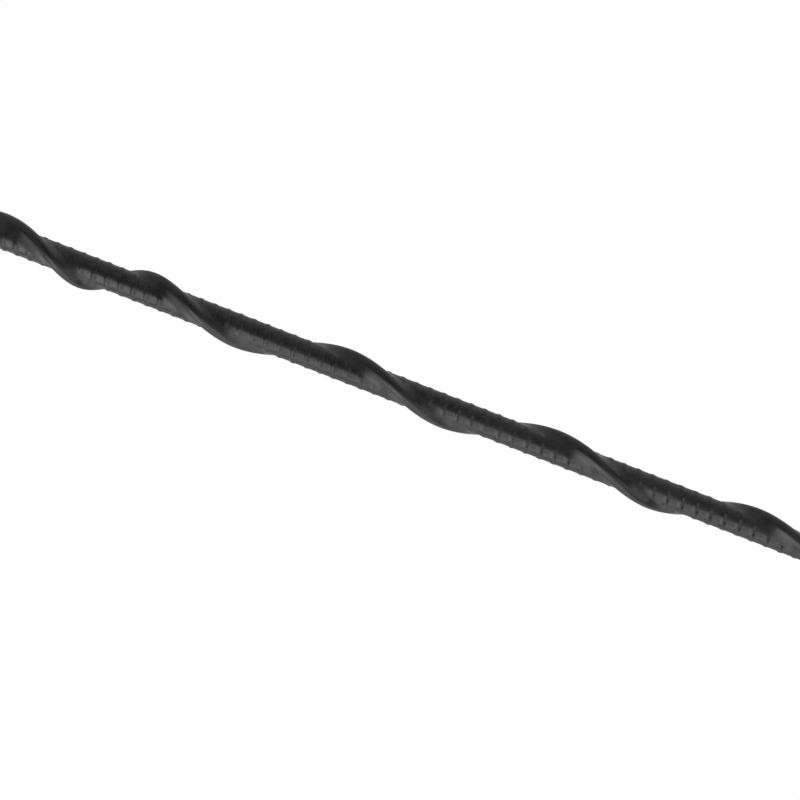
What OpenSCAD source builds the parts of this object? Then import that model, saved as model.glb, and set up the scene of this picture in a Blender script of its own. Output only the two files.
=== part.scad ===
// Screw-in roof mast for a car radio: a wound aerial inside a finned black skin.
// The seat of the metal foot is at z = 0, the stud is below it and the tip is at the top.

/* [Mast] */
// Height of the tip above the seat
mast_h = 330; // [250:5:400]
// Diameter of the glass-fibre rod that the aerial is wound on
core_d = 3.8; // [3:0.1:5]
// Depth of the rod's top end below the tip
core_tip_depth = 5; // [4.6:0.1:8]

/* [Stud and foot] */
// Diameter of the stud's thread, over its crests
stud_d = 5; // [4:0.5:6]
// Length of the stud below the seat
stud_len = 9; // [6:0.5:14]
// Chamfer at the stud's end
stud_edge = 0.6; // [0.3:0.1:1]
// Diameter of the foot's seat flange
flange_d = 12; // [10.5:0.5:16]
// Thickness of the flange
flange_h = 2.5; // [1.5:0.1:4]
// Chamfer on both edges of the flange
flange_edge = 0.4; // [0.2:0.05:0.6]
// Diameter of the barrel that holds the rod
barrel_d = 6.6; // [6.2:0.1:7.4]
// Height of the barrel above the flange
barrel_h = 20; // [16:0.5:24]
// Depth of the barrel's socket
socket_depth = 16; // [10:0.5:19]
// Included angle of the socket's drilled end
drill_angle = 118; // [90:1:140]
// Grooves round the barrel that key the sleeve
key_count = 3; // [1:1:4]
// Width of a key groove
key_w = 1.8; // [1:0.1:2.4]
// Depth of a key groove
key_depth = 0.4; // [0.2:0.05:0.45]

/* [Winding] */
// Diameter of the aerial wire
wire_d = 0.5; // [0.3:0.05:0.6]
// Pitch of the loose turns that run down to the foot
tail_pitch = 11; // [6:0.5:16]
// Pitch of the close turns at the root
root_pitch = 3.08; // [2.6:0.02:3.4]
// Pitch of the close turns at the tip
tip_pitch = 3.6; // [3.4:0.02:4.2]
// Height from the sleeve's top to the first close turn
close_gap = 0.4; // [0:0.1:3]
// Depth of the wire's upper end below the skin's
wire_top_depth = 2; // [1:0.5:6]
// Height of the solder ring on the barrel
solder_h = 1.6; // [1:0.1:3]

/* [Skin] */
// Wall of the skin outside the winding at the root
root_wall = 0.52; // [0.4:0.02:0.8]
// Wall of the skin outside the winding at the tip
tip_wall = 0.42; // [0.34:0.02:0.6]
// Depth of the skin's top end below the tip
skin_tip_depth = 9; // [8:0.5:12]
// Height of the ridge that a turn of wire prints in the skin
ridge_h = 0.16; // [0.1:0.02:0.3]
// Width of a ridge, as a share of the winding's pitch
ridge_share = 0.54; // [0.3:0.02:0.6]
// Angle over which the ridges fade in beside the fin
ridge_fade_angle = 36; // [20:2:60]

/* [Fin] */
// Height of the fin over the skin
fin_h = 1.64; // [1:0.02:2]
// Radius of the fin's blunt crest
fin_crest_r = 1.75; // [1.2:0.05:2.2]
// Height of one turn of the fin
fin_pitch = 50; // [36:1:70]
// Angle of the fin where it would pass the seat
fin_phase = -21.6; // [-180:0.1:180]
// Height of the stretch near the root where the fin is wound more tightly
tight_z = 104.5; // [90:0.5:130]
// Half length of that stretch
tight_len = 10.9; // [6:0.1:20]
// Part of a turn that the tight stretch adds
tight_turns = 0.32; // [0:0.02:0.5]
// How much taller the fin is below the tight stretch
fin_root_extra = 0.32; // [0:0.02:0.4]
// Height from the sleeve, and from the cap, to the fin's ends
fin_end_gap = 1.5; // [1:0.1:5]
// Length over which the fin rises from its ends
fin_fade = 12; // [8:1:24]

/* [Sleeve] */
// Height of the sleeve above the flange
sleeve_h = 55.5; // [44:0.5:60]
// Diameter of the sleeve at its foot
sleeve_root_d = 12; // [10.5:0.1:14]
// Diameter of the sleeve at its top
sleeve_top_d = 8; // [7.6:0.1:9]
// Height of the sleeve's straight foot
sleeve_straight = 7; // [4:0.5:12]
// How soon the taper narrows above the straight foot
sleeve_taper = 1.5; // [1:0.1:2]
// Radius of the sleeve's top lip
sleeve_lip = 0.6; // [0.2:0.05:0.65]

/* [Cap] */
// Height of the cap, from its skirt's edge to the tip
cap_h = 16; // [13:0.5:22]
// Diameter of the cap
cap_d = 8; // [7.6:0.1:9]
// Chamfer on the skirt's edge
cap_edge = 0.5; // [0.2:0.05:0.7]

/* [Fits] */
// Gap between the rod and the winding's flats
wind_clear = 0.03; // [0.02:0.01:0.1]
// Gap between the winding and the skin's bore
bore_clear = 0.05; // [0.02:0.01:0.1]
// Gap round the rod in its socket and in the cap
core_clear = 0.05; // [0.02:0.01:0.1]
// Gap between the sleeve or the cap and what it grips
grip_clear = 0.05; // [0.02:0.01:0.1]
// Gap left where two ends butt
butt_clear = 0.1; // [0.05:0.01:0.2]

/* [Hidden] */
$fn = 96;

core_r = core_d / 2;
stud_r = stud_d / 2;
flange_r = flange_d / 2;
barrel_r = barrel_d / 2;
barrel_top = flange_h + barrel_h;
socket_r = core_r + core_clear;
socket_floor = barrel_top - socket_depth;
key_step = barrel_h / (key_count + 1);
solder_top = barrel_top + solder_h;
sleeve_top = flange_h + sleeve_h;
cap_foot = mast_h - cap_h;
cap_r = cap_d / 2;

// The wire is drawn square, with its corners on the round wire, and its chords just clear the rod.
wire_half = wire_d / 2 * sqrt(0.5);
wind_points = 8;
wind_r = (core_r + wind_clear + wire_half) / cos(180 / wind_points);
wire_foot = solder_top + wire_half + butt_clear;
skin_foot = solder_top + butt_clear;
skin_top = mast_h - skin_tip_depth;
wire_top = skin_top - wire_top_depth;
close_z = sleeve_top + close_gap;
pitch_gain = (pow(tip_pitch, 2) - pow(root_pitch, 2)) / (2 * (wire_top - close_z));

// The skin's bore is a prism whose flats clear the winding's outer corners.
bore_sides = 24;
bore_r = (wind_r + wire_half + bore_clear) / cos(180 / bore_sides);
core_top = mast_h - core_tip_depth;
fin_foot = sleeve_top + fin_end_gap;
fin_top = cap_foot - fin_end_gap;
ridge_fade = 3;

// Steps of the turned curves: pieces of the sleeve's taper, and degrees of its lip and the dome.
taper_steps = 12;
lip_step = 15;
dome_step = 7.5;

// Columns of the skin: they follow the fin, close on its crest and wide on the plain back.
mean_r = bore_r + (root_wall + tip_wall) / 2;
fin_offset = mean_r + fin_h - fin_crest_r;
fin_side = acos((mean_r - fin_crest_r) / fin_offset);
fin_turn = atan2(fin_crest_r * sin(fin_side), fin_offset + fin_crest_r * cos(fin_side));
back_columns = 9;
back_step = (360 - 2 * fin_side) / (back_columns + 1);
columns = concat(
    [0, fin_turn / 2, fin_turn, fin_side],
    [for (i = [1 : back_columns]) fin_side + i * back_step],
    [360 - fin_side, 360 - fin_turn, 360 - fin_turn / 2]);
around = len(columns);

// Rows of the skin: the near foot, the crest and the far foot of each ridge, in turns of wire.
ridge_rows = [-ridge_share / 2, 0, ridge_share / 2];
solve_steps = 9;

function ease(t) = let (c = min(1, max(0, t))) c * c * (3 - 2 * c);

// Height at which the winding has made w turns, counted from its first close turn, and the reverse.
function lay_z(w) = close_z + (w < 0 ? w * tail_pitch : w * root_pitch + pitch_gain * w * w / 2);
function close_turns(d) = 2 * d / (sqrt(root_pitch * root_pitch + 2 * pitch_gain * d) + root_pitch);
function turns_at(z) = z < close_z ? (z - close_z) / tail_pitch : close_turns(z - close_z);

// How much of the fin's tight stretch lies below a height, and the fin's turns and height there.
// Past the fin's ends the columns run straight.
function passed_tight(z) = 1 / (1 + exp(-2 * (z - tight_z) / tight_len));
function fin_turns(z) =
    let (c = min(fin_top, max(fin_foot, z)))
    c / fin_pitch + fin_phase / 360 + tight_turns * passed_tight(c);
function fin_ends(z) = ease((z - fin_foot) / fin_fade) * ease((fin_top - z) / fin_fade);
function fin_height(z) = (fin_h + fin_root_extra * (1 - passed_tight(z))) * fin_ends(z);

function skin_r(z) =
    bore_r + root_wall + (tip_wall - root_wall) * (z - skin_foot) / (skin_top - skin_foot);
function from_crest(a) = let (b = a % 360) min(b, 360 - b);

// Radius of the skin's section at an angle from the fin's crest: a small circle joined to the
// rod's circle by two straight flanks.
function section_r(b, z) =
    let (rod = skin_r(z))
    let (off = rod + fin_height(z) - fin_crest_r)
    let (side = acos(min(1, (rod - fin_crest_r) / off)))
    let (turn = atan2(fin_crest_r * sin(side), off + fin_crest_r * cos(side)))
    b >= side ? rod :
    b > turn ? rod / cos(side - b) :
    off * cos(b) + sqrt(pow(fin_crest_r, 2) - pow(off * sin(b), 2));

function ridge_ends(z) = ease((z - sleeve_top) / ridge_fade) * ease((cap_foot - z) / ridge_fade);
function ridge_at(b, z) = ridge_h * ease((b - fin_side) / ridge_fade_angle) * ridge_ends(z);

// Height at which a row of the winding crosses a column of the fin.
function row_z(u, a, z, steps) =
    steps == 0 ? z : row_z(u, a, lay_z(u + a / 360 + fin_turns(z)), steps - 1);

function polar(r, angle, z) = [r * cos(angle), r * sin(angle), z];
function column_angle(t) = 360 * floor(t / around) + columns[t % around];
function skin_point(first, row, t) =
    let (a = column_angle(t))
    let (z = row_z(first + ridge_rows[row], a, skin_foot, solve_steps))
    let (b = from_crest(a))
    polar(section_r(b, z) + (row == 1 ? ridge_at(b, z) : 0), a + 360 * fin_turns(z), z);
function end_ring(z) =
    [for (a = columns) polar(section_r(from_crest(a), z), a + 360 * fin_turns(z), z)];
function bore_ring(z) = [for (k = [0 : bore_sides - 1]) polar(bore_r, k * 360 / bore_sides, z)];

// Triangles of a quad, and of a fan, whose points are given anticlockwise as seen from outside.
function quad(a, b, c, d) = [[a, c, b], [a, d, c]];
function fan(apex, rim) = [for (i = [0 : len(rim) - 2]) [apex, rim[i + 1], rim[i]]];
function flat_list(lists) = [for (l = lists) each l];
function backwards(list) = [for (i = [len(list) - 1 : -1 : 0]) list[i]];

// Flat end face between a ring of the skin and the bore, anticlockwise from above. Each edge of the
// ring is joined to the bore's corner that is nearest its middle.
function edge_corner(j, z) =
    let (middle = (column_angle(j) + column_angle(j + 1)) / 2 + 360 * fin_turns(z))
    round(middle * bore_sides / 360);
function bore_point(k) = (k % bore_sides + bore_sides) % bore_sides;
function end_face(z, ring, bore) = [for (j = [0 : around - 1])
    let (corner = edge_corner(j, z))
    let (before = edge_corner(j + around - 1, z) - bore_sides)
    each concat(
        [[ring + j, ring + (j + 1) % around, bore + bore_point(corner)]],
        [for (k = [before : 1 : corner - 1])
            [ring + j, bore + bore_point(k + 1), bore + bore_point(k)]])];

// Outline of the grooved barrel, grown outwards for the sleeve that is moulded over it.
function barrel_side(grow, z_low, z_high) = concat(
    [[barrel_r + grow, z_low]],
    flat_list([for (i = [1 : key_count]) key_groove(barrel_r + grow, flange_h + i * key_step)]),
    [[barrel_r + grow, z_high]]);
function key_groove(r, z) = [
    [r, z - key_w / 2],
    [r - key_depth, z - key_w / 2 + key_depth],
    [r - key_depth, z + key_w / 2 - key_depth],
    [r, z + key_w / 2]];

// Turned metal foot: the stud, the seat flange and the barrel with its drilled socket.
module threaded_ferrule() {
    drill_depth = socket_r / tan(drill_angle / 2);
    color("silver")
    rotate_extrude()
    polygon(concat(
        [[0, -stud_len], [stud_r - stud_edge, -stud_len], [stud_r, stud_edge - stud_len]],
        [[stud_r, 0], [flange_r - flange_edge, 0], [flange_r, flange_edge]],
        [[flange_r, flange_h - flange_edge], [flange_r - flange_edge, flange_h]],
        barrel_side(0, flange_h, barrel_top),
        [[socket_r, barrel_top], [socket_r, socket_floor], [0, socket_floor - drill_depth]]));
}

module core_rod() {
    foot = socket_floor + butt_clear;
    color("khaki")
    translate([0, 0, foot])
    cylinder(r = core_r, h = core_top - foot);
}

// Fillet of solder between the barrel's end and the wire's first turn.
module solder_joint() {
    inner_r = core_r + core_clear;
    color("lightsteelblue")
    rotate_extrude()
    polygon([
        [inner_r, barrel_top],
        [barrel_r - key_depth, barrel_top],
        [wind_r + wire_half, solder_top],
        [inner_r, solder_top]]);
}

// The aerial itself: one wire, loose at the foot and close above the sleeve.
module aerial_winding() {
    first = turns_at(wire_foot);
    count = floor((turns_at(wire_top) - first) * wind_points);
    corners = [[-1, -1], [1, -1], [1, 1], [-1, 1]];
    points = [for (i = [0 : count], c = corners)
        let (w = first + i / wind_points)
        polar(wind_r + c[0] * wire_half, 360 * w, lay_z(w) + c[1] * wire_half)];
    sides = [for (i = [0 : count - 1], k = [0 : 3])
        let (n = (k + 1) % 4)
        each quad(4 * i + k, 4 * i + 4 + k, 4 * i + 4 + n, 4 * i + n)];
    color("peru")
    polyhedron(points, concat(sides, [[3, 2, 1, 0]], [[for (k = [0 : 3]) 4 * count + k]]));
}

// Black skin with the fin and the winding's ridges. Each row of points is one endless helix along
// the wire and each column is one along the fin, so both crests are edges of the mesh.
module mast_sheath() {
    first = ceil(turns_at(skin_foot) - fin_turns(skin_foot) + ridge_share);
    whole = floor(turns_at(skin_top) - fin_turns(skin_top) - first - ridge_share);
    last = around * whole;
    top = last - around;
    row = last + 1;
    foot_ring = 3 * row;
    top_ring = foot_ring + around;
    foot_bore = top_ring + around;
    top_bore = foot_bore + bore_sides;
    points = concat(
        [for (q = [0 : 2], t = [0 : last]) skin_point(first, q, t)],
        end_ring(skin_foot), end_ring(skin_top), bore_ring(skin_foot), bore_ring(skin_top));

    ridges = [for (q = [0, row], t = [0 : last - 1])
        each quad(q + t, q + t + 1, q + row + t + 1, q + row + t)];
    flats = [for (t = [0 : top - 1])
        each quad(2 * row + t, 2 * row + t + 1, t + 1 + around, t + around)];
    foot_band = [for (j = [0 : around - 2])
        each quad(foot_ring + j, foot_ring + j + 1, j + 1, j)];
    foot_seam = fan(around - 1,
        [foot_ring + around - 1, foot_ring, 0, row, 2 * row, around]);
    top_band = [for (j = [1 : around - 1])
        each quad(2 * row + top + j, 2 * row + top + j + 1,
            top_ring + (j + 1) % around, top_ring + j)];
    top_seam = fan(2 * row + top + 1,
        [top_ring + 1, top_ring, 2 * row + last, row + last, last, 2 * row + top]);
    bore = [for (k = [0 : bore_sides - 1])
        let (n = (k + 1) % bore_sides)
        each quad(foot_bore + n, foot_bore + k, top_bore + k, top_bore + n)];
    foot_face = end_face(skin_foot, foot_ring, foot_bore);
    top_face = [for (t = end_face(skin_top, top_ring, top_bore)) backwards(t)];

    color([0.09, 0.09, 0.1])
    polyhedron(points, concat(
        ridges, flats, foot_band, foot_seam, top_band, top_seam, bore, foot_face, top_face),
        convexity = 10);
}

// Moulded grip over the barrel and the skin's lower end.
module root_sleeve() {
    top_r = sleeve_top_d / 2;
    swell = (sleeve_root_d - sleeve_top_d) / 2;
    foot = flange_h + butt_clear;
    taper_foot = flange_h + sleeve_straight;
    taper_top = sleeve_top - sleeve_lip;
    bore_step = skin_foot - butt_clear;
    skin_grip = skin_r(skin_foot) + grip_clear;
    taper = [for (i = [0 : taper_steps])
        let (t = i / taper_steps)
        let (r = top_r + swell * pow(cos(90 * t), sleeve_taper))
        [r, taper_foot + t * (taper_top - taper_foot)]];
    lip = [for (a = [lip_step : lip_step : 90])
        [top_r - sleeve_lip * (1 - cos(a)), taper_top + sleeve_lip * sin(a)]];
    color([0.07, 0.07, 0.07])
    rotate_extrude()
    polygon(concat(
        backwards(barrel_side(grip_clear, foot, bore_step)),
        [[top_r + swell, foot]],
        taper,
        lip,
        [[skin_grip, sleeve_top], [skin_grip, bore_step]]));
}

// Moulded cap: a skirt over the skin, a stepped bore and a round end.
module tip_cap() {
    skin_grip = skin_r(cap_foot) + grip_clear;
    step_z = skin_top + butt_clear;
    core_grip = core_r + core_clear;
    bore_top = core_top + butt_clear;
    dome = [for (a = [0 : dome_step : 90]) [cap_r * cos(a), mast_h - cap_r + cap_r * sin(a)]];
    color([0.08, 0.08, 0.085])
    rotate_extrude()
    polygon(concat(
        [[skin_grip, cap_foot], [cap_r - cap_edge, cap_foot], [cap_r, cap_foot + cap_edge]],
        dome,
        [[0, bore_top], [core_grip, bore_top], [core_grip, step_z], [skin_grip, step_z]]));
}

threaded_ferrule();
core_rod();
solder_joint();
aerial_winding();
mast_sheath();
root_sleeve();
tip_cap();
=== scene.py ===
import math

import bmesh
import bpy
import numpy as np
from mathutils import Matrix, Vector


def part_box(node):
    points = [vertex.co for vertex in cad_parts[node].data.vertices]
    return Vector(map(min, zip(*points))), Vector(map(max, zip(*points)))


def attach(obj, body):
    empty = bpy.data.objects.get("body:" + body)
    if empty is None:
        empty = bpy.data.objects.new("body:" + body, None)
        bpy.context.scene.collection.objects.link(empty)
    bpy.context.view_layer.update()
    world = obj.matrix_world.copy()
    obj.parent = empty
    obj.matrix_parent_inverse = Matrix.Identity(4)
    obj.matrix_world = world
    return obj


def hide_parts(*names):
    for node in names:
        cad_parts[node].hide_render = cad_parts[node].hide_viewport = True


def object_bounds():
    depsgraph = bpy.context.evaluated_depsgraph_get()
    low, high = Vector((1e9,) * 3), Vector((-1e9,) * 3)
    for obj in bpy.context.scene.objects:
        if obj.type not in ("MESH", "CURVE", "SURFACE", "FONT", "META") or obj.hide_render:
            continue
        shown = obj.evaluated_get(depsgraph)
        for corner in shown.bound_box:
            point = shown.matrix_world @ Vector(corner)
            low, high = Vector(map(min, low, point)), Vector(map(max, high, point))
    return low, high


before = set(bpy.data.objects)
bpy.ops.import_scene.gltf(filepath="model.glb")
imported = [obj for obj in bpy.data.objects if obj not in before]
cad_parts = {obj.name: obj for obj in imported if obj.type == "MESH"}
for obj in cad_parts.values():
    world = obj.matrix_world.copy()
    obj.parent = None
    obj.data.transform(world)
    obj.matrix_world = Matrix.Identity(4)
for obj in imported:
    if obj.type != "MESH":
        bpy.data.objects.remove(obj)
cadLow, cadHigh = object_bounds()
mm = 0.001
fullTurn = 2 * math.pi
footLow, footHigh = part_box("threaded_ferrule")
skinLow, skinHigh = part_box("mast_sheath")
sleeveLow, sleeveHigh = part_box("root_sleeve")
capLow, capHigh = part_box("tip_cap")
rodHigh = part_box("core_rod")[1]
print("frame loaded")


# Camera: square to the mast and rolled, so that the mast runs down to the right
photo = {
    "size": 800,                  # pixels a side
    "slope": 21.29,               # degrees that the mast falls to the right
    "axisLeft": 234.3,            # pixel row of the mast's axis at the left edge
    "pixelsPerMm": 4.4,
    "leftHeight": 78 * mm,        # height on the mast at the left edge
    "lens": 135,
    "sensor": 36,
    "clip": (0.01, 20),           # metres
}


def makeCamera():
    slope = math.radians(photo["slope"])
    half = photo["size"] / 2
    # the picture's centre in pixels: below the axis, along it from the left edge, and across it
    below = half - (photo["axisLeft"] + half * math.tan(slope))
    along = half / math.cos(slope) + below * math.sin(slope)
    across = below * math.cos(slope)
    scale = mm / photo["pixelsPerMm"]
    right = Vector((-math.sin(slope), 0, math.cos(slope)))
    up = Vector((-math.cos(slope), 0, -math.sin(slope)))
    back = Vector((0, -1, 0))
    aim = Vector((across * scale, 0, photo["leftHeight"] + along * scale))
    distance = photo["lens"] * photo["size"] * scale / photo["sensor"]
    data = bpy.data.cameras.new("camera")
    data.lens, data.sensor_width = photo["lens"], photo["sensor"]
    data.clip_start, data.clip_end = photo["clip"]
    camera = bpy.data.objects.new("camera", data)
    bpy.context.scene.collection.objects.link(camera)
    turn = Matrix((right, up, back)).transposed().to_4x4()
    camera.matrix_world = Matrix.Translation(aim + back * distance) @ turn
    bpy.context.scene.camera = camera


makeCamera()
print("camera placed")


# A shader socket that takes part in sums
class Signal:
    def __init__(self, finish, socket):
        self.finish = finish
        self.socket = socket

    def math(self, operation, other, swap=False):
        first, second = (other, self) if swap else (self, other)
        return self.finish.node(
            "ShaderNodeMath", {"operation": operation}, {0: first, 1: second})

    def __add__(self, other):
        return self.math("ADD", other)

    def __sub__(self, other):
        return self.math("SUBTRACT", other)

    def __rsub__(self, other):
        return self.math("SUBTRACT", other, True)

    def __mul__(self, other):
        return self.math("MULTIPLY", other)

    __radd__ = __add__
    __rmul__ = __mul__


# A node tree, with the few nodes that the finishes here are made of
class Finish:
    def __init__(self, owner):
        owner.use_nodes = True
        self.owner = owner
        self.tree = owner.node_tree

    def node(self, kind, settings, sockets, output=0):
        node = self.tree.nodes.new(kind)
        for name, value in settings.items():
            setattr(node, name, value)
        self.fill(node, sockets)
        return Signal(self, node.outputs[output])

    def fill(self, node, sockets):
        for name, value in sockets.items():
            if isinstance(value, Signal):
                self.tree.links.new(value.socket, node.inputs[name])
            else:
                node.inputs[name].default_value = value

    def place(self, output="Object"):
        return self.node("ShaderNodeTexCoord", {}, {}, output)

    def rays(self, output):
        return self.node("ShaderNodeLightPath", {}, {}, output)

    def along(self, vector, axis):
        return self.node("ShaderNodeSeparateXYZ", {}, {0: vector}, axis)

    def vector(self, operation, place, output):
        return self.node("ShaderNodeVectorMath", {"operation": operation}, {0: place}, output)

    def noise(self, place, scale, detail, roughness):
        return self.node("ShaderNodeTexNoise", {}, {
            "Vector": place, "Scale": scale, "Detail": detail, "Roughness": roughness})

    def spread(self, value, fromLow, fromHigh, toLow=0.0, toHigh=1.0):
        return self.node("ShaderNodeMapRange", {"interpolation_type": "SMOOTHSTEP"}, {
            "Value": value, "From Min": fromLow, "From Max": fromHigh,
            "To Min": toLow, "To Max": toHigh})

    # A Mix node takes colours at inputs 6 and 7 and gives one at output 2
    def colour(self, share, first, second):
        return self.node("ShaderNodeMix", {"data_type": "RGBA"}, {
            0: share, 6: (*first, 1), 7: (*second, 1)}, 2)

    # Soft steps summed: each has an axis, where on it the step begins and is full, and a size
    def steps(self, direction, base, parts):
        for axis, begins, full, size in parts:
            base = self.spread(self.along(direction, axis), begins, full, 0.0, size) + base
        return base

    def bump(self, height, distance):
        return self.node("ShaderNodeBump", {}, {"Height": height, "Distance": distance})

    def shade(self, sockets, shader="Principled BSDF"):
        self.fill(self.tree.nodes[shader], sockets)
        return self.owner


# Noise: its octaves and roughness, and the part of its range that a finish uses
cloudNoise = (4, 0.6)
grainNoise = (3, 0.6)
plainNoise = (2.0, 0.5)
cloudRange = (0.3, 0.7)
mottleRange = (0.35, 0.65)

skinFinish = {
    "dark": (0.014, 0.014, 0.015),
    "light": (0.021, 0.021, 0.022),
    "roughness": (0.22, 0.29),
    "ior": 1.55,
    "mottle": 260,                # noise scales are per metre
    "grain": 5200,
    "grainDepth": 0.002 * mm,
}
gripFinish = {
    "dark": (0.015, 0.015, 0.016),
    "light": (0.024, 0.024, 0.025),
    "roughness": (0.5, 0.62),
    "ior": 1.5,
    "mottle": 150,
    "grain": 2600,
    "grainDepth": 0.03 * mm,
}
capFinish = {
    "dark": (0.015, 0.015, 0.016),
    "light": (0.021, 0.021, 0.022),
    "roughness": (0.34, 0.42),
    "ior": 1.5,
    "mottle": 300,
    "grain": 3400,
    "grainDepth": 0.012 * mm,
}


def makeMoulded(name, look):
    finish = Finish(bpy.data.materials.new(name))
    place = finish.place()
    mottle = finish.noise(place, look["mottle"], *cloudNoise)
    grain = finish.noise(place, look["grain"], *grainNoise)
    share = finish.spread(mottle, *mottleRange)
    return finish.shade({
        "Base Color": finish.colour(share, look["dark"], look["light"]),
        "Roughness": finish.spread(mottle, *cloudRange, *look["roughness"]),
        "IOR": look["ior"],
        "Normal": finish.bump(grain, look["grainDepth"]),
    })


metalFinish = {
    "dull": (0.5, 0.49, 0.46),
    "bright": (0.66, 0.65, 0.62),
    "roughness": (0.2, 0.36),
    "cloud": 500,
    "linePitch": 0.09 * mm,       # turning marks
    "lineDepth": 0.002 * mm,
    "lineDrift": 9,               # radians that a mark wanders by
}


def makePlatedMetal():
    look = metalFinish
    finish = Finish(bpy.data.materials.new("platedMetal"))
    place = finish.place()
    cloud = finish.noise(place, look["cloud"], *cloudNoise)
    share = finish.spread(cloud, *cloudRange)
    drift = cloud * look["lineDrift"]
    marks = finish.along(place, "Z") * (fullTurn / look["linePitch"]) + drift
    return finish.shade({
        "Base Color": finish.colour(share, look["dull"], look["bright"]),
        "Metallic": 1.0,
        "Roughness": finish.spread(cloud, *cloudRange, *look["roughness"]),
        "Normal": finish.bump(marks.math("SINE", 0.0), look["lineDepth"]),
    })


# What the skin hides: each is a CAD node with its colours, noise scale, roughness and metal
innerFinish = {
    "core_rod": ((0.62, 0.57, 0.36), (0.76, 0.72, 0.52), 700, 0.45, 0.0),
    "solder_joint": ((0.45, 0.45, 0.46), (0.66, 0.66, 0.67), 1400, 0.38, 1.0),
    "aerial_winding": ((0.5, 0.2, 0.07), (0.78, 0.36, 0.15), 900, 0.28, 1.0),
}
innerGrain = {
    "roughSpread": (0.8, 1.2),    # of the roughness, least and most
    "finer": 6,                   # times the noise scale
    "depth": 0.004 * mm,
}


def dressInner():
    least, most = innerGrain["roughSpread"]
    for node, (dark, light, scale, rough, metal) in innerFinish.items():
        finish = Finish(bpy.data.materials.new(node + "Finish"))
        place = finish.place()
        cloud = finish.noise(place, scale, *grainNoise)
        grain = finish.noise(place, scale * innerGrain["finer"], *plainNoise)
        material = finish.shade({
            "Base Color": finish.colour(finish.spread(cloud, *cloudRange), dark, light),
            "Metallic": metal,
            "Roughness": finish.spread(cloud, *cloudRange, rough * least, rough * most),
            "Normal": finish.bump(grain, innerGrain["depth"]),
        })
        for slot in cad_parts[node].material_slots:
            slot.material = material


dressInner()
print("inner nodes dressed")


meshing = {
    "weld": 0.0005 * mm,
    "levelSlack": 0.01 * mm,      # an edge this near a level lies on it
    "angleSlack": 0.001,          # radians by which a ring's first corner may be early
}


def selectEdges(piece, test):
    bpy.ops.mesh.select_mode(type="EDGE")
    bpy.ops.mesh.select_all(action="DESELECT")
    work = bmesh.from_edit_mesh(piece.data)
    for edge in work.edges:
        if test(edge):
            edge.select_set(True)
    work.select_flush_mode()
    bmesh.update_edit_mesh(piece.data)


def openEdge(edge):
    return edge.is_boundary


def openAt(level):
    def test(edge):
        return edge.is_boundary and all(
            abs(corner.co.z - level) < meshing["levelSlack"] for corner in edge.verts)
    return test


# The selected ring is drawn out from station to station, each a radius and a height
def drawOut(stations):
    radius, height = stations[0]
    for nextRadius, nextHeight in stations[1:]:
        bpy.ops.mesh.extrude_region_move(
            TRANSFORM_OT_translate={"value": (0, 0, nextHeight - height)})
        ratio = nextRadius / radius
        bpy.ops.transform.resize(value=(ratio, ratio, 1), center_override=(0, 0, nextHeight))
        radius, height = nextRadius, nextHeight


# The selected ring is drawn in to a point, which may stand off along the axis
def closeRing(rise=0.0):
    bpy.ops.mesh.extrude_region_move(TRANSFORM_OT_translate={"value": (0, 0, rise)})
    bpy.ops.mesh.merge(type="CENTER")


# The selected ring's corners are set evenly apart, the first at an angle
def evenRing(piece, radius, level, start):
    work = bmesh.from_edit_mesh(piece.data)
    ring = [(math.atan2(v.co.y, v.co.x) - start, v) for v in work.verts if v.select]
    ring.sort(key=lambda pair: (pair[0] + meshing["angleSlack"]) % fullTurn)
    for index, (_, corner) in enumerate(ring):
        angle = start + fullTurn * index / len(ring)
        corner.co = (radius * math.cos(angle), radius * math.sin(angle), level)
    bmesh.update_edit_mesh(piece.data)


# Points round a centre, from one angle to another in degrees
def arc(centre, radius, start, end, steps):
    out, up = centre
    points = []
    for step in range(steps + 1):
        angle = math.radians(start + (end - start) * step / steps)
        points.append((out + radius * math.cos(angle), up + radius * math.sin(angle)))
    return points


# A turned piece begins as one ring at its first station
def turned(name, stations, segments):
    bpy.ops.object.select_all(action="DESELECT")
    radius, height = stations[0]
    bpy.ops.mesh.primitive_circle_add(vertices=segments, radius=radius, location=(0, 0, height))
    piece = bpy.context.object
    piece.name = piece.data.name = name
    bpy.ops.object.transform_apply(location=True, rotation=True, scale=True)
    bpy.ops.object.mode_set(mode="EDIT")
    bpy.ops.mesh.select_all(action="SELECT")
    drawOut(stations)
    return piece


def weldAll():
    bpy.ops.mesh.select_all(action="SELECT")
    bpy.ops.mesh.remove_doubles(threshold=meshing["weld"])
    bpy.ops.mesh.select_all(action="SELECT")


def finishMesh(piece, angle):
    weldAll()
    bpy.ops.mesh.normals_make_consistent(inside=False)
    bpy.ops.object.mode_set(mode="OBJECT")
    bpy.ops.object.shade_smooth_by_angle(angle=math.radians(angle))
    print(piece.name, len(piece.data.vertices), "vertices", len(piece.data.polygons), "faces")


def dress(piece, material, node):
    piece.data.materials.clear()
    piece.data.materials.append(material)
    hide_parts(node)
    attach(piece, "root")


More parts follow.
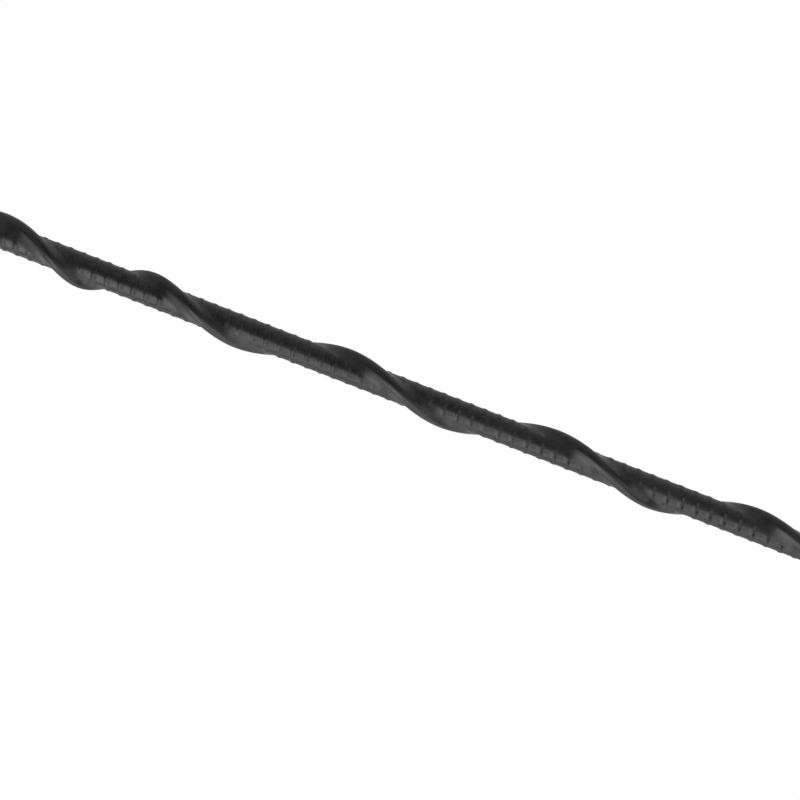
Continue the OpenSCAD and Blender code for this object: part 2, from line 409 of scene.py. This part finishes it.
# A tube whose rows follow a helix: a grid that spans -1 to 1 is bent round, its side edges meet
# one turn apart, and what passes the ends is flattened onto them
def helicalTube(name, columns, rows, turns, shape):
    bpy.ops.object.select_all(action="DESELECT")
    count = len(rows) * turns
    bpy.ops.mesh.primitive_grid_add(
        x_subdivisions=len(columns), y_subdivisions=count, size=2)
    piece = bpy.context.object
    piece.name = piece.data.name = name
    flat = np.zeros(len(piece.data.vertices) * 3)
    piece.data.vertices.foreach_get("co", flat)
    flat = flat.reshape(-1, 3)
    column = np.rint((flat[:, 0] + 1) / 2 * len(columns)).astype(int)
    row = np.rint((flat[:, 1] + 1) / 2 * count).astype(int)
    angle = np.append(columns, fullTurn)[column]
    turn = row // len(rows) + np.array(rows)[row % len(rows)]
    radius, around, height = shape(angle, turn)
    bent = np.stack([radius * np.cos(around), radius * np.sin(around), height], axis=1)
    piece.data.vertices.foreach_set("co", bent.ravel())
    piece.data.update()
    bpy.ops.object.mode_set(mode="EDIT")
    weldAll()
    bpy.ops.mesh.dissolve_degenerate(threshold=meshing["weld"])
    return piece


# From 0 to 1 with a soft start and end
def ease(value):
    value = np.clip(value, 0, 1)
    return value * value * (3 - 2 * value)


# Skin: the winding prints ridges in it and one fin winds round it
skin = {
    "boreRadius": 2.529 * mm,
    "rootWall": 0.52 * mm,
    "tipWall": 0.42 * mm,
    "tailPitch": 11 * mm,         # winding below the sleeve's top
    "rootPitch": 3.08 * mm,
    "tipPitch": 3.6 * mm,
    "closeGap": 0.4 * mm,         # sleeve's top to the first close turn
    "wireTopDepth": 2 * mm,
    "finHeight": 1.64 * mm,
    "finExtra": 0.32 * mm,        # taller below the tight stretch
    "finCrest": 1.75 * mm,
    "finPitch": 50 * mm,
    "finPhase": -21.6,            # degrees
    "tightHeight": 104.5 * mm,
    "tightLength": 10.9 * mm,
    "tightTurns": 0.32,
    "finSways": (                 # height, reach and turns
        (226 * mm, 20 * mm, -0.019),
        (264 * mm, 12 * mm, 0.012)),
    "endGap": 1.5 * mm,           # from the sleeve and from the cap
    "finRunOut": 12 * mm,
    "flankLimit": 1.2,            # radians from its foot that a flank is worked out to
    "ridgeHeight": 0.16 * mm,
    "ridgeShare": 0.54,           # of the winding's pitch
    "ridgeFades": (               # degrees past the fin's foot
        (-8, 10),                 # on its root side
        (-22, 0)),                # on its tip side
    "ridgeRunOut": 3 * mm,
    "ridgeSway": 0.03,            # of the pitch, to and fro
    "swayWaves": ((0.31, 0.0), (0.87, 2.0)),    # waves a turn, and where each starts
    "ridgeVary": 0.25,            # of the height, up and down
    "varyWaves": ((0.43, 1.0), (1.19, 4.0)),
    "crestColumns": 20,
    "flankColumns": 5,
    "backColumns": 30,
    "ridgeRows": 10,
    "flatRows": 5,
    "solveSteps": 14,
    "spareTurns": (2, 3),         # past the root and past the tip, flattened onto the ends
    "smoothAngle": 60,
}


def layHeight(turns):
    start = sleeveHigh.z + skin["closeGap"]
    end = skinHigh.z - skin["wireTopDepth"]
    gain = (skin["tipPitch"] ** 2 - skin["rootPitch"] ** 2) / (2 * (end - start))
    close = turns * skin["rootPitch"] + gain * turns ** 2 / 2
    return start + np.where(turns < 0, turns * skin["tailPitch"], close)


def passedTight(height):
    return 1 / (1 + np.exp(-2 * (height - skin["tightHeight"]) / skin["tightLength"]))


def finEnds():
    return sleeveHigh.z + skin["endGap"], capLow.z - skin["endGap"]


def finTurns(height):
    within = np.clip(height, *finEnds())
    extra = skin["tightTurns"] * passedTight(within)
    for middle, reach, turns in skin["finSways"]:
        extra = extra + turns * np.exp(-((within - middle) / reach) ** 2)
    return within / skin["finPitch"] + skin["finPhase"] / 360 + extra


def finHeight(height):
    low, high = finEnds()
    ends = ease((height - low) / skin["finRunOut"]) * ease((high - height) / skin["finRunOut"])
    return (skin["finHeight"] + skin["finExtra"] * (1 - passedTight(height))) * ends


# The skin's radius beside the fin and between the ridges
def plainRadius(height):
    share = (height - skinLow.z) / (skinHigh.z - skinLow.z)
    return skin["boreRadius"] + skin["rootWall"] + (skin["tipWall"] - skin["rootWall"]) * share


# The fin in section: a round crest about an offset centre, and straight flanks down to the skin
def finSection(plain, fin):
    offset = plain + fin - skin["finCrest"]
    side = np.arccos(np.minimum(1, (plain - skin["finCrest"]) / offset))
    return offset, side


def crestAngle(offset, tilt):
    crest = skin["finCrest"]
    return np.arctan2(crest * np.sin(tilt), offset + crest * np.cos(tilt))


def sectionRadius(angle, height):
    plain = plainRadius(height)
    offset, side = finSection(plain, finHeight(height))
    turn = crestAngle(offset, side)
    inside = skin["finCrest"] ** 2 - (offset * np.sin(angle)) ** 2
    lobe = offset * np.cos(angle) + np.sqrt(np.maximum(0, inside))
    flank = plain / np.cos(np.minimum(side - angle, skin["flankLimit"]))
    return np.where(angle >= side, plain, np.where(angle > turn, flank, lobe))


def skinColumns():
    plain = plainRadius((skinLow.z + skinHigh.z) / 2)
    offset, side = finSection(plain, skin["finHeight"])
    lobe = crestAngle(offset, np.linspace(0, side, skin["crestColumns"] // 2 + 1))
    flank = np.linspace(lobe[-1], side, skin["flankColumns"] + 1)[1:]
    half = np.concatenate([lobe, flank])
    back = np.linspace(side, fullTurn - side, skin["backColumns"] + 1)[1:-1]
    return np.concatenate([half, back, fullTurn - half[:0:-1]]), side


def ridgeProfile(phase):
    share = np.abs(phase - np.rint(phase)) / (skin["ridgeShare"] / 2)
    return 0.5 + 0.5 * np.cos(math.pi * np.minimum(share, 1))


def wander(lay, waves):
    return sum(np.sin(fullTurn * rate * lay + start) for rate, start in waves) / len(waves)


def skinShape(side, first):
    def shape(angle, turn):
        lay = first + turn + angle / fullTurn
        sway = skin["ridgeSway"] * wander(lay, skin["swayWaves"])
        vary = 1 + skin["ridgeVary"] * wander(lay, skin["varyWaves"])
        level = np.full(len(angle), skinLow.z)
        # the columns turn with the fin, which turns with the height, so that is found in steps
        for _ in range(skin["solveSteps"]):
            level = layHeight(lay + sway + finTurns(level))
        level = np.clip(level, skinLow.z, skinHigh.z)
        away = np.minimum(angle, fullTurn - angle)
        fromSleeve = ease((level - sleeveHigh.z) / skin["ridgeRunOut"])
        fromCap = ease((capLow.z - level) / skin["ridgeRunOut"])
        past = np.degrees(away - side)
        rootFade, tipFade = (ease((past - begins) / (full - begins))
                             for begins, full in skin["ridgeFades"])
        fade = np.where(angle < math.pi, rootFade, tipFade)
        ridge = skin["ridgeHeight"] * vary * ridgeProfile(turn) * fade * fromSleeve * fromCap
        return sectionRadius(away, level) + ridge, angle + fullTurn * finTurns(level), level
    return shape


def makeSkin():
    columns, side = skinColumns()
    half = skin["ridgeShare"] / 2
    ridge = np.linspace(-half, half, skin["ridgeRows"] + 1)
    flat = np.linspace(half, 1 - half, skin["flatRows"] + 1)[1:-1]
    rows = np.concatenate([ridge, flat])
    tail = (sleeveHigh.z + skin["closeGap"] - skinLow.z) / skin["tailPitch"]
    close = 2 * (skinHigh.z - sleeveHigh.z) / (skin["rootPitch"] + skin["tipPitch"])
    before, after = skin["spareTurns"]
    first = -math.ceil(tail + float(finTurns(skinLow.z))) - before
    turns = math.ceil(close - float(finTurns(skinHigh.z))) - first + after
    piece = helicalTube("mastSkin", columns, rows, turns, skinShape(side, first))
    for level in (skinLow.z, skinHigh.z):
        selectEdges(piece, openAt(level))
        drawOut([(float(plainRadius(level)), level), (skin["boreRadius"], level)])
        evenRing(piece, skin["boreRadius"], level, fullTurn * float(finTurns(level)))
    selectEdges(piece, openEdge)
    bpy.ops.mesh.bridge_edge_loops()
    finishMesh(piece, skin["smoothAngle"])
    return piece


skinPiece = makeSkin()
dress(skinPiece, makeMoulded("skinPlastic", skinFinish), "mast_sheath")
print("skin made")


# Foot: one turned piece, with an M5 thread and the barrel that the rod is held in
foot = {
    "threadPitch": 0.8 * mm,
    "threadRoot": 2.01 * mm,      # radius under the thread
    "threadRows": (0, 0.08, 0.2, 0.32, 0.4375, 0.5, 0.5625, 0.68, 0.8, 0.92),
    "threadFlanks": (0.08, 0.4375, 0.5625, 0.92),    # each one's start and end in a turn
    "spareTurns": 2,              # past each end, flattened onto it
    "studRadius": 2.5 * mm,
    "studEdge": 0.6 * mm,
    "relief": 0.7 * mm,           # plain length under the seat
    "segments": 72,
    "flangeHeight": 2.5 * mm,
    "flangeEdge": 0.4 * mm,
    "barrelRadius": 3.3 * mm,
    "keyCount": 3,
    "keyWidth": 1.8 * mm,
    "keyDepth": 0.4 * mm,
    "socketDepth": 16 * mm,
    "socketRadius": 1.95 * mm,
    "drillAngle": 118,
    "smoothAngle": 35,
}


def threadShape(first):
    low, high = foot["threadRoot"], foot["studRadius"]
    stations = (0, *foot["threadFlanks"], 1)
    radii = (low, low, high, high, low, low)

    def shape(angle, turn):
        level = footLow.z + (first + turn + angle / fullTurn) * foot["threadPitch"]
        level = np.clip(level, footLow.z, 0)
        radius = np.interp(turn % 1, stations, radii)
        edge = high - foot["studEdge"] + level - footLow.z
        relief = np.maximum(low, low - foot["relief"] - level)
        return np.minimum(np.minimum(radius, edge), relief), angle, level
    return shape


def keyedBarrel():
    radius, top = foot["barrelRadius"], footHigh.z
    step = (top - foot["flangeHeight"]) / (foot["keyCount"] + 1)
    half, depth = foot["keyWidth"] / 2, foot["keyDepth"]
    side = [(radius, foot["flangeHeight"])]
    for key in range(1, foot["keyCount"] + 1):
        middle = foot["flangeHeight"] + key * step
        side += [(radius, middle - half), (radius - depth, middle - half + depth),
                 (radius - depth, middle + half - depth), (radius, middle + half)]
    return side + [(radius, top)]


def makeFoot():
    columns = np.linspace(0, fullTurn, foot["segments"] + 1)[:-1]
    spare = foot["spareTurns"]
    turns = math.ceil(-footLow.z / foot["threadPitch"]) + 2 * spare
    piece = helicalTube("footMetal", columns, foot["threadRows"], turns, threadShape(-spare))
    flange, height, edge = footHigh.x, foot["flangeHeight"], foot["flangeEdge"]
    socket, bottom = foot["socketRadius"], footHigh.z - foot["socketDepth"]
    selectEdges(piece, openAt(0))
    drawOut([(foot["threadRoot"], 0), (flange - edge, 0), (flange, edge),
             (flange, height - edge), (flange - edge, height), *keyedBarrel(),
             (socket, footHigh.z), (socket, bottom)])
    closeRing(-socket / math.tan(math.radians(foot["drillAngle"] / 2)))
    selectEdges(piece, openAt(footLow.z))
    closeRing()
    finishMesh(piece, foot["smoothAngle"])
    return piece


footPiece = makeFoot()
dress(footPiece, makePlatedMetal(), "threaded_ferrule")
print("foot made")


# Sleeve: a moulded grip, straight at its foot and tapered to a round lip
sleeve = {
    "segments": 96,
    "straight": 7 * mm,
    "topRadius": 4 * mm,
    "lip": 0.6 * mm,
    "footEdge": 0.35 * mm,
    "edgeSteps": 5,
    "lipSteps": 6,
    "taperSteps": 24,
    "taperPower": 1.5,
    "gripGap": 0.05 * mm,
    "boreStep": 24.1 * mm,        # height where the bore narrows from the barrel to the skin
    "smoothAngle": 35,
}


def makeSleeve():
    low, high, gap = sleeveLow.z, sleeveHigh.z, sleeve["gripGap"]
    wide, narrow = sleeveHigh.x, sleeve["topRadius"]
    taperFoot = foot["flangeHeight"] + sleeve["straight"]
    edge, lip = sleeve["footEdge"], sleeve["lip"]
    taperTop = high - lip
    side = arc((wide - edge, low + edge), edge, -90, 0, sleeve["edgeSteps"])
    for step in range(sleeve["taperSteps"] + 1):
        share = step / sleeve["taperSteps"]
        swell = (wide - narrow) * math.cos(math.pi / 2 * share) ** sleeve["taperPower"]
        side.append((narrow + swell, taperFoot + share * (taperTop - taperFoot)))
    side += arc((narrow - lip, taperTop), lip, 0, 90, sleeve["lipSteps"])[1:]
    grip = float(plainRadius(skinLow.z)) + gap
    barrel = [(radius + gap, height) for radius, height in keyedBarrel()[1:-1]]
    first = (foot["barrelRadius"] + gap, low)
    bore = [(grip, high), (grip, sleeve["boreStep"]), (first[0], sleeve["boreStep"])]
    stations = [first, *side, *bore, *barrel[::-1], first]
    piece = turned("rootSleeve", stations, sleeve["segments"])
    finishMesh(piece, sleeve["smoothAngle"])
    return piece


sleevePiece = makeSleeve()
dress(sleevePiece, makeMoulded("gripRubber", gripFinish), "root_sleeve")
print("sleeve made")


# Cap: a skirt over the skin's end, with a round top
cap = {
    "segments": 96,
    "radius": 4 * mm,
    "edge": 0.5 * mm,
    "edgeSteps": 5,
    "domeEnd": 88,                # degrees, where the dome's last ring is closed
    "domeSteps": 14,
    "gripGap": 0.05 * mm,
    "buttGap": 0.1 * mm,
    "coreRadius": 1.9 * mm,
    "smoothAngle": 35,
}


def makeCap():
    radius, edge, gap = cap["radius"], cap["edge"], cap["gripGap"]
    grip = float(plainRadius(capLow.z)) + gap
    core = cap["coreRadius"] + gap
    step = skinHigh.z + cap["buttGap"]
    boreTop = rodHigh.z + cap["buttGap"]
    bore = [(core, boreTop), (core, step), (grip, step), (grip, capLow.z)]
    skirt = arc((radius - edge, capLow.z + edge), edge, -90, 0, cap["edgeSteps"])
    dome = arc((0, capHigh.z - radius), radius, 0, cap["domeEnd"], cap["domeSteps"])
    piece = turned("tipCap", [*bore, *skirt, *dome], cap["segments"])
    closeRing()
    selectEdges(piece, openEdge)
    bpy.ops.mesh.edge_face_add()
    finishMesh(piece, cap["smoothAngle"])
    return piece


capPiece = makeCap()
dress(capPiece, makeMoulded("capPlastic", capFinish), "tip_cap")
print("cap made")


# Studio: a pale floor, a white ground behind, and soft lamps. Gloss and metal see the floor and
# the surroundings darker before the mast, and whiter round it by soft steps; on the lamps' side
# the floor's glow to them is painted light
white, black = (1, 1, 1), (0, 0, 0)
floor = {
    "size": 8,
    "drop": 0.01 * mm,            # below the stud
    "pale": (0.8, 0.8, 0.8),
    "plain": (0.08, 0.3),         # the floor's own shade fades out between these radii
    "nearWhite": 0.5,             # share of plain white in it before that
    "front": 0.13,                # how white gloss and metal see it before the mast
    "sides": (
        ("X", -0.2, -0.8, 0.28),
        ("Y", -0.4, 0.2, 0.16)),
    "lit": (("X", 0.35, 0.8, 0.77),),    # painted light: on the lamps' side, gloss and metal see the floor glow whiter, in place of the lamps' light falling on it
    "dim": (0.4, 1.4, 0.5),       # the painted light on the lamps' side fades between these radii, by this share
}
studio = {
    "front": 0.0,                 # how bright the surroundings look before the mast
    "sides": (
        ("Y", -0.5, 0.2, 0.48),
        ("X", 0.7, 1.0, 0.6),
        ("X", -0.7, -1.0, 0.23)),
}
lamps = {
    "keyLamp": {"angle": 52, "distance": 0.45, "height": 180 * mm, "aim": 180 * mm,
                "wide": 0.6, "tall": 0.45, "radiance": 1.06},
    "fillLamp": {"angle": 30, "distance": 0.5, "height": 200 * mm, "aim": 200 * mm,
                 "wide": 0.6, "tall": 0.5, "radiance": 0.24},
    "rootLamp": {"angle": 51, "distance": 0.3, "height": 25 * mm, "aim": 25 * mm,
                 "wide": 0.34, "tall": 0.05, "radiance": 0.85},
    "lowLamp": {"angle": 51, "distance": 0.6, "height": 15 * mm, "aim": 15 * mm,
                "wide": 0.6, "tall": 0.03, "radiance": 2.2},
    "tipLamp": {"angle": -20, "distance": 0.5, "height": 420 * mm, "aim": 420 * mm,
                "wide": 1.4, "tall": 0.38, "radiance": 0.27},
    "topLamp": {"angle": 10, "distance": 0.3, "height": 600 * mm, "aim": 200 * mm,
                "wide": 0.6, "tall": 0.4, "radiance": 0.9},
}


def makeFloor():
    bpy.ops.object.select_all(action="DESELECT")
    bpy.ops.mesh.primitive_plane_add(
        size=floor["size"], location=(0, 0, cadLow.z - floor["drop"]))
    piece = bpy.context.object
    piece.name = "floor"
    finish = Finish(bpy.data.materials.new("floorPaper"))
    place = finish.place()
    reach = finish.vector("LENGTH", place, "Value")
    far = finish.spread(reach, *floor["plain"], floor["nearWhite"], 1.0)
    seen = finish.rays("Is Glossy Ray") + finish.rays("Is Transmission Ray")
    toward = finish.vector("NORMALIZE", place, "Vector")
    start, end, share = floor["dim"]
    fade = finish.spread(reach, start, end, 1.0, 1 - share)
    # painted light: to gloss and metal the floor's lamp side glows whiter, fading with
    # distance, in place of the lamps' own light on it
    lit = finish.steps(toward, 0.0, floor["lit"]) * fade
    ground = finish.steps(toward, floor["front"], floor["sides"]) + lit
    shown = finish.rays("Is Camera Ray") * far
    glow = shown + seen * ground
    piece.data.materials.append(finish.shade({
        "Base Color": finish.colour(shown + seen, floor["pale"], black),
        "Emission Color": finish.colour(glow, black, white),
        "Emission Strength": 1.0,
        "Roughness": 1.0,
        "Specular IOR Level": 0.0,
    }))


def makeWorld():
    world = bpy.data.worlds.new("studio")
    bpy.context.scene.world = world
    finish = Finish(world)
    seen = finish.rays("Is Camera Ray")
    around = finish.steps(finish.place("Generated"), studio["front"], studio["sides"])
    finish.shade({"Color": (*white, 1), "Strength": seen + (1 - seen) * around}, "Background")


def makeLamp(name, look):
    angle = math.radians(look["angle"])
    away = Vector((math.sin(angle), -math.cos(angle), 0)) * look["distance"]
    data = bpy.data.lights.new(name, "AREA")
    data.shape = "RECTANGLE"
    data.size, data.size_y = look["wide"], look["tall"]
    data.energy = look["radiance"] * math.pi * look["wide"] * look["tall"]
    lamp = bpy.data.objects.new(name, data)
    bpy.context.scene.collection.objects.link(lamp)
    lamp.location = away + Vector((0, 0, look["height"]))
    lamp.rotation_mode = "QUATERNION"
    sight = Vector((0, 0, look["aim"])) - lamp.location
    lamp.rotation_quaternion = sight.to_track_quat("-Z", "Y")
    lamp.visible_camera = False


makeFloor()
makeWorld()
for lampName, lampLook in lamps.items():
    makeLamp(lampName, lampLook)
bpy.context.scene.view_settings.view_transform = "Standard"
print("studio lit")
